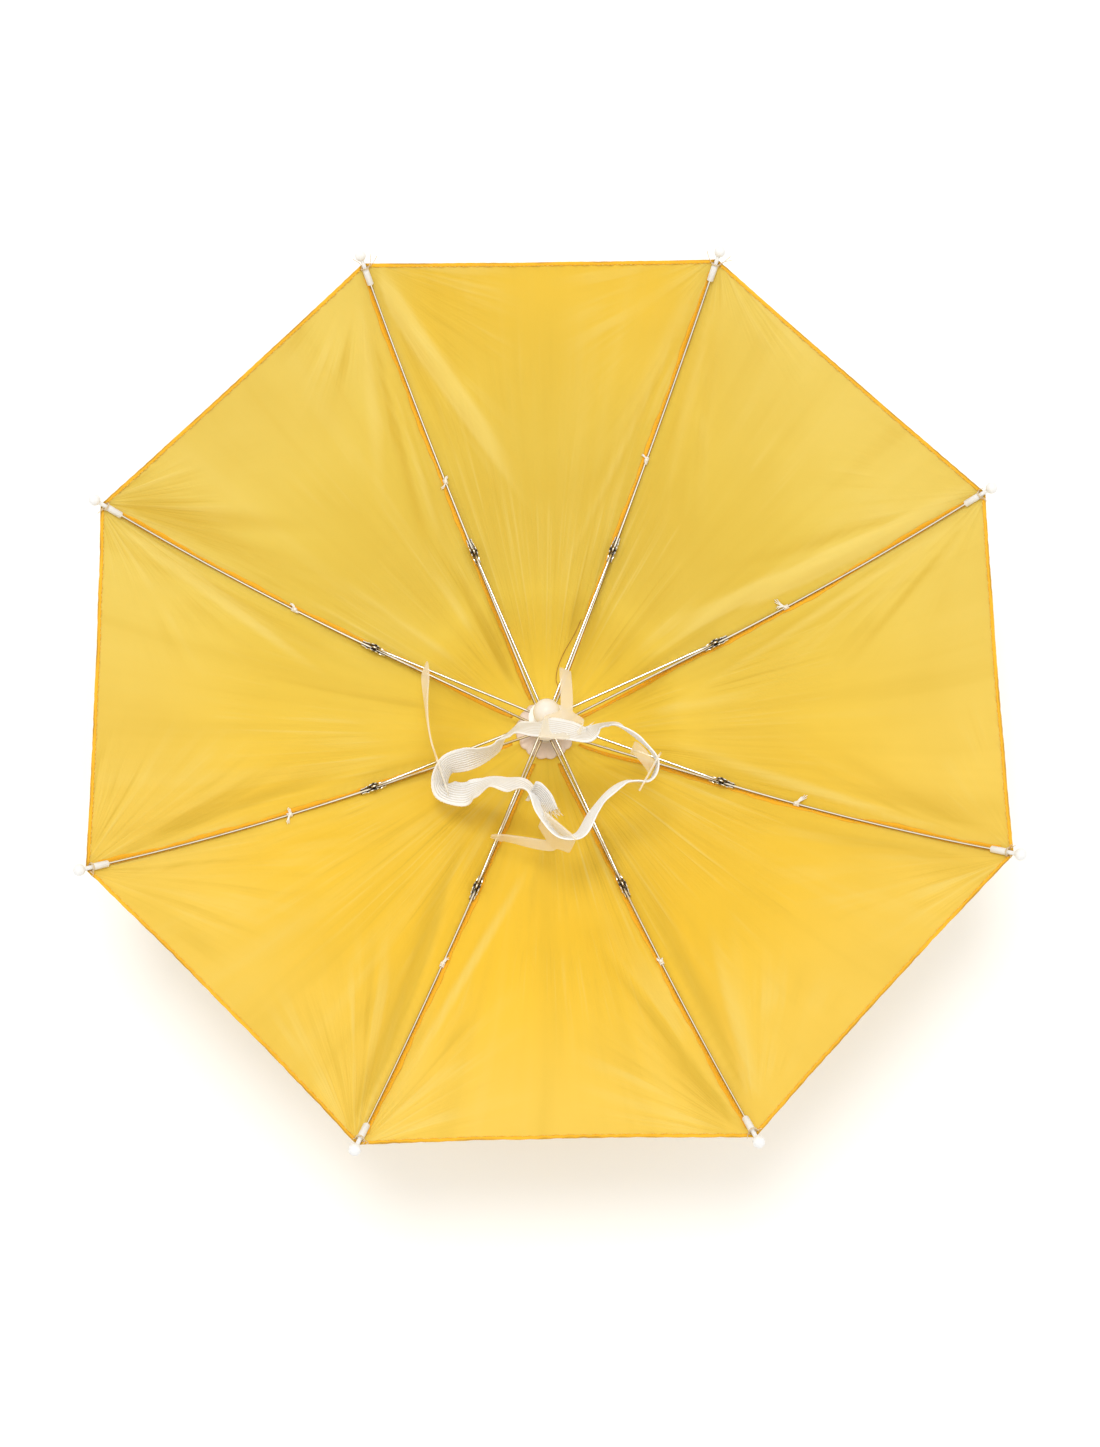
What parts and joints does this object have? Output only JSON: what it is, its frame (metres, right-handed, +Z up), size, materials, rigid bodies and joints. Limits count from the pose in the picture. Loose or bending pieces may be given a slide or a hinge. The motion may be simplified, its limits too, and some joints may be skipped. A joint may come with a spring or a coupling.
{
  "type": "umbrella hat",
  "caption": "Hands-free umbrella worn on the head: a stretched octagonal cloth canopy on wire ribs and stretchers, with an elastic head band hung under its crown on plastic hangers.",
  "frame": {"origin": "centre of the crown cap's flat face, on the ground the hat lies on upside down", "axes": "+Z up from the crown cap through the open side of the canopy, along the post; +Y towards the edge of the rim between the first two ribs; +X to the right of it"},
  "size_m": [0.5696, 0.5696, 0.1646],
  "materials": {
    "canopy_cloth": "thin yellow woven polyester, slightly see-through",
    "elastic_band": "white ribbed woven elastic",
    "bright_wire": "bright plated round steel wire",
    "stamped_clip": "folded plated sheet with a dull rivet",
    "white_plastic": "opaque white moulded plastic",
    "milky_plastic": "milky half-clear moulded plastic",
    "blush_plastic": "thin half-clear moulded plastic with a pink cast"
  },
  "bodies": {
    "root": {"crown_cap": "white_plastic", "crown_washer": "blush_plastic", "rib_hub": "milky_plastic", "post": "milky_plastic", "runner": "milky_plastic", "runner_knob": "milky_plastic", "gore_1": "canopy_cloth", "gore_2": "canopy_cloth", "gore_3": "canopy_cloth", "gore_4": "canopy_cloth", "gore_5": "canopy_cloth", "gore_6": "canopy_cloth", "gore_7": "canopy_cloth", "gore_8": "canopy_cloth", "rib_1": "bright_wire", "rib_2": "bright_wire", "rib_3": "bright_wire", "rib_4": "bright_wire", "rib_5": "bright_wire", "rib_6": "bright_wire", "rib_7": "bright_wire", "rib_8": "bright_wire", "stretcher_1": "bright_wire", "stretcher_2": "bright_wire", "stretcher_3": "bright_wire", "stretcher_4": "bright_wire", "stretcher_5": "bright_wire", "stretcher_6": "bright_wire", "stretcher_7": "bright_wire", "stretcher_8": "bright_wire", "joint_clip_1": "stamped_clip", "joint_clip_2": "stamped_clip", "joint_clip_3": "stamped_clip", "joint_clip_4": "stamped_clip", "joint_clip_5": "stamped_clip", "joint_clip_6": "stamped_clip", "joint_clip_7": "stamped_clip", "joint_clip_8": "stamped_clip", "rib_tip_1": "white_plastic", "rib_tip_2": "white_plastic", "rib_tip_3": "white_plastic", "rib_tip_4": "white_plastic", "rib_tip_5": "white_plastic", "rib_tip_6": "white_plastic", "rib_tip_7": "white_plastic", "rib_tip_8": "white_plastic", "head_band": "elastic_band", "hanger_1": "milky_plastic", "hanger_2": "milky_plastic", "hanger_3": "milky_plastic", "hanger_4": "milky_plastic"}
  },
  "joints": []
}
